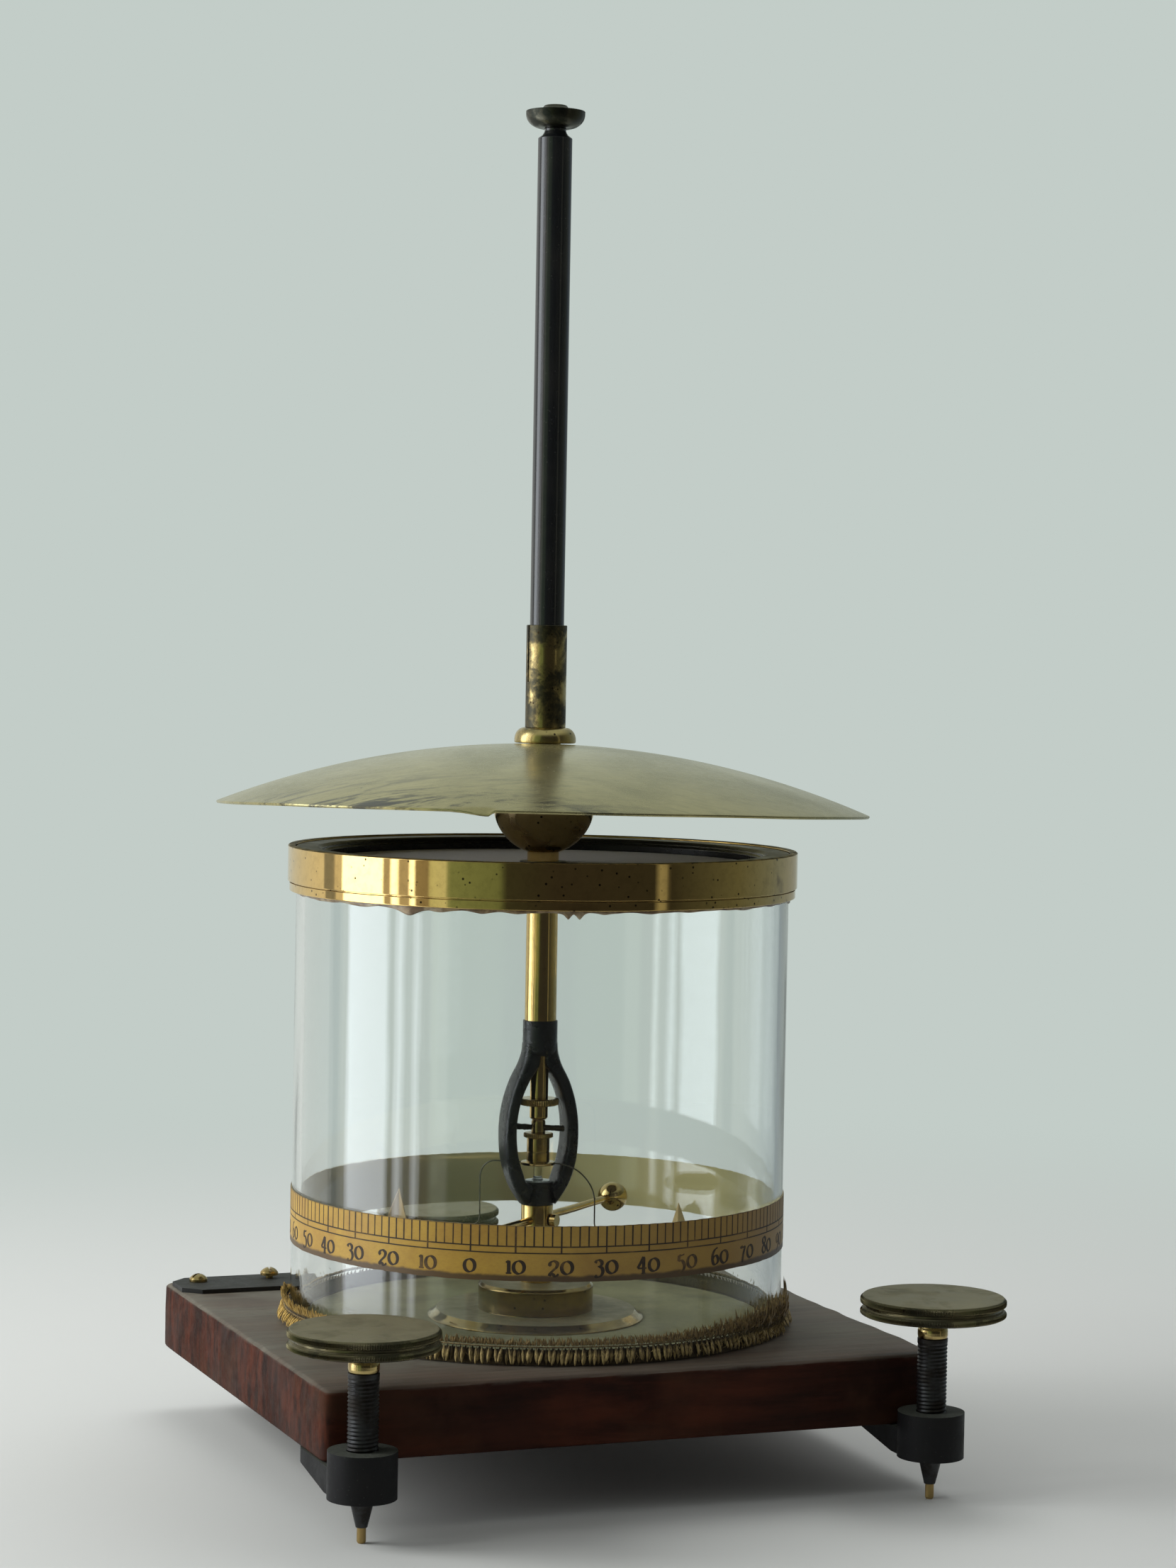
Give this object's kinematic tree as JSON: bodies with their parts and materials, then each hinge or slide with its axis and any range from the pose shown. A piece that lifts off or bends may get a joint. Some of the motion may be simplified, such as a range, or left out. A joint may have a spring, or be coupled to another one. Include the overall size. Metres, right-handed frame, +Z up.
{
  "type": "electrometer",
  "caption": "Needle electrometer: glass cylinder with a degree scale on a levelled wooden base, brass lid, domed shield on a ball and a tall collector rod with a small terminal.",
  "frame": {"origin": "on the table, in the plane of the levelling screws' tips, under the instrument's upright axis", "axes": "+Z up along the collector rod, +X to the right along the base board's front edge, -Y towards the two front levelling screws"},
  "size_m": [0.244, 0.269, 0.4638],
  "materials": {
    "wood": "old mahogany, dull and dusty, with worn edges",
    "brass": "lacquered brass, partly polished and partly tarnished",
    "dull_brass": "tarnished olive brass with dark stains and dust",
    "dark_bronze": "blackened bronze with worn streaks",
    "black_iron": "japanned black, satin",
    "steel": "dark steel, satin",
    "wire": "drawn wire, dull",
    "glass": "clear old glass, slightly uneven",
    "scale_paper": "varnished amber paper with black divisions and numbers",
    "lining_paper": "pale paper, slightly soiled",
    "vane_paper": "stiff cream paper",
    "yarn": "gold and khaki yarn tufts, frayed",
    "cement": "brown shellac cement with runs",
    "ebonite": "black ebonite, dull",
    "jewel": "polished garnet"
  },
  "bodies": {
    "stand": {"base_board": "wood", "base_lining": "lining_paper", "front_left_lug": "black_iron", "front_right_lug": "black_iron", "rear_lug": "black_iron", "lug_screws": "brass", "corner_plate": "black_iron", "plate_screws": "brass", "glass_cylinder": "glass", "scale_band": "scale_paper", "foot_braid": "yarn", "lid_rim": "brass", "lid_moulding": "ebonite", "lid_plate": "dark_bronze", "lid_bush": "ebonite", "lid_cement": "cement", "base_flange": "brass", "plinth": "brass", "column": "brass", "centre_bolt": "brass", "centre_nut": "brass", "yoke": "black_iron", "yoke_stem": "brass", "pivot_pillar": "glass", "pivot_point": "steel", "main_rod": "brass", "shield_ball": "brass", "shield_dish": "dull_brass", "shield_collar": "brass", "split_sleeve": "brass"},
    "collector": {"collector_tube": "dark_bronze", "terminal_bowl": "dark_bronze", "top_button": "dark_bronze"},
    "needle": {"needle_cap": "brass", "cap_ring": "brass", "cap_jewel": "jewel", "magnet_holder": "brass", "magnet_bar": "steel", "needle_wires": "wire", "needle_vanes": "vane_paper"},
    "arrest": {"arrest_nut": "brass"},
    "arm": {"arm_rod": "brass", "arm_balls": "brass"},
    "clamp": {"clamp_screw": "brass"},
    "front_left_shaft": {"front_left_screw": "steel"},
    "front_left_knob": {"front_left_head": "brass"},
    "front_right_shaft": {"front_right_screw": "steel"},
    "front_right_knob": {"front_right_head": "brass"},
    "rear_shaft": {"rear_screw": "steel"},
    "rear_knob": {"rear_head": "brass"}
  },
  "joints": [
    {"name": "needle_swing", "type": "hinge", "parent": "stand", "child": "needle", "pos_m": [0, 0, 0.1045], "axis": [0, 0, 1], "range_deg": [-98, 0]},
    {"name": "collector_slide", "type": "slide", "parent": "stand", "child": "collector", "axis": [0, 0, 1], "range_m": [0, 0.033]},
    {"name": "arrest_turn", "type": "hinge", "parent": "stand", "child": "arrest", "pos_m": [0, 0, 0.1205], "axis": [0, 0, 1], "continuous": true},
    {"name": "arm_slide", "type": "slide", "parent": "stand", "child": "arm", "axis": [0.7431, 0.6691, 0], "range_m": [-0.006, 0.006]},
    {"name": "clamp_turn", "type": "hinge", "parent": "stand", "child": "clamp", "pos_m": [0, 0, 0.0796], "axis": [0.6691, -0.7431, 0], "range_deg": [-180, 180]},
    {"name": "front_left_travel", "type": "slide", "parent": "stand", "child": "front_left_shaft", "axis": [0, 0, 1], "range_m": [-0.005, 0.005]},
    {"name": "front_left_turn", "type": "hinge", "parent": "front_left_shaft", "child": "front_left_knob", "pos_m": [-0.098, -0.1105, 0.06], "axis": [0, 0, 1], "range_deg": [-1441, 1441]},
    {"name": "front_right_travel", "type": "slide", "parent": "stand", "child": "front_right_shaft", "axis": [0, 0, 1], "range_m": [-0.005, 0.005]},
    {"name": "front_right_turn", "type": "hinge", "parent": "front_right_shaft", "child": "front_right_knob", "pos_m": [0.098, -0.1105, 0.06], "axis": [0, 0, 1], "range_deg": [-1441, 1441]},
    {"name": "rear_travel", "type": "slide", "parent": "stand", "child": "rear_shaft", "axis": [0, 0, 1], "range_m": [-0.005, 0.005]},
    {"name": "rear_turn", "type": "hinge", "parent": "rear_shaft", "child": "rear_knob", "pos_m": [0, 0.1105, 0.06], "axis": [0, 0, 1], "range_deg": [-1441, 1441]}
  ],
  "couplings": [
    {"joint": "front_left_turn", "follows": "front_left_travel", "rad_per_m": 5026.5},
    {"joint": "front_right_turn", "follows": "front_right_travel", "rad_per_m": 5026.5},
    {"joint": "rear_turn", "follows": "rear_travel", "rad_per_m": 5026.5}
  ]
}
